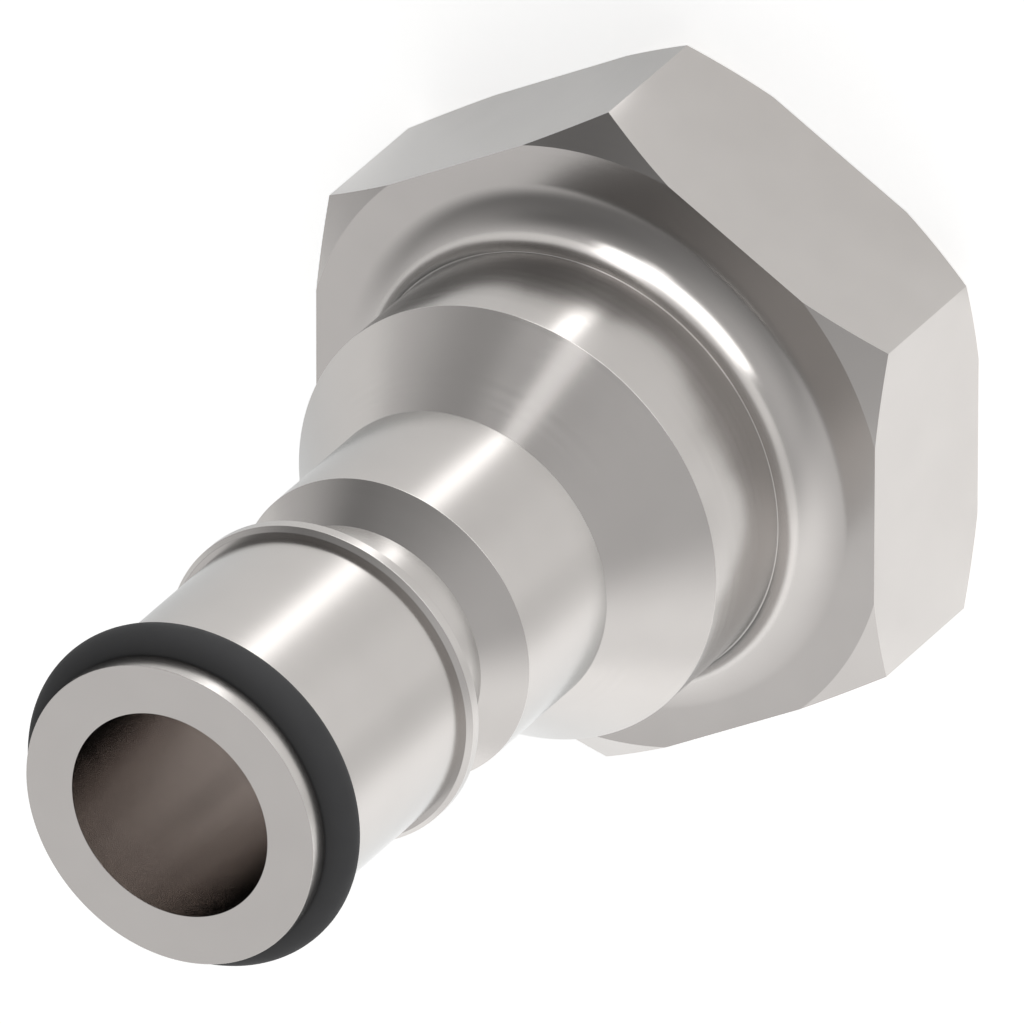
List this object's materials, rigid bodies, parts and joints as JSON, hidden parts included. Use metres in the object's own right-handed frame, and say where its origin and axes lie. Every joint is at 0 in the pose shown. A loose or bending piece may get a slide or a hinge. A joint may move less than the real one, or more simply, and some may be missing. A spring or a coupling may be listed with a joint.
{
  "type": "quick coupling nipple",
  "caption": "Turned stainless steel quick coupling nipple with hexagon, flare, ball locking groove, sealing ring behind the tip lip and female pipe thread.",
  "frame": {"origin": "centre of the rear face of the hexagon, which the nipple stands on", "axes": "+Z along the axis towards the tip that enters the coupling, +Y through a corner of the hexagon, +X through a flat"},
  "size_m": [0.032, 0.037, 0.0525],
  "materials": {
    "stainless_steel": "satin turned stainless steel",
    "rubber": "smooth black moulded rubber"
  },
  "bodies": {
    "root": {"nipple_body": "stainless_steel", "o_ring": "rubber"}
  },
  "joints": []
}
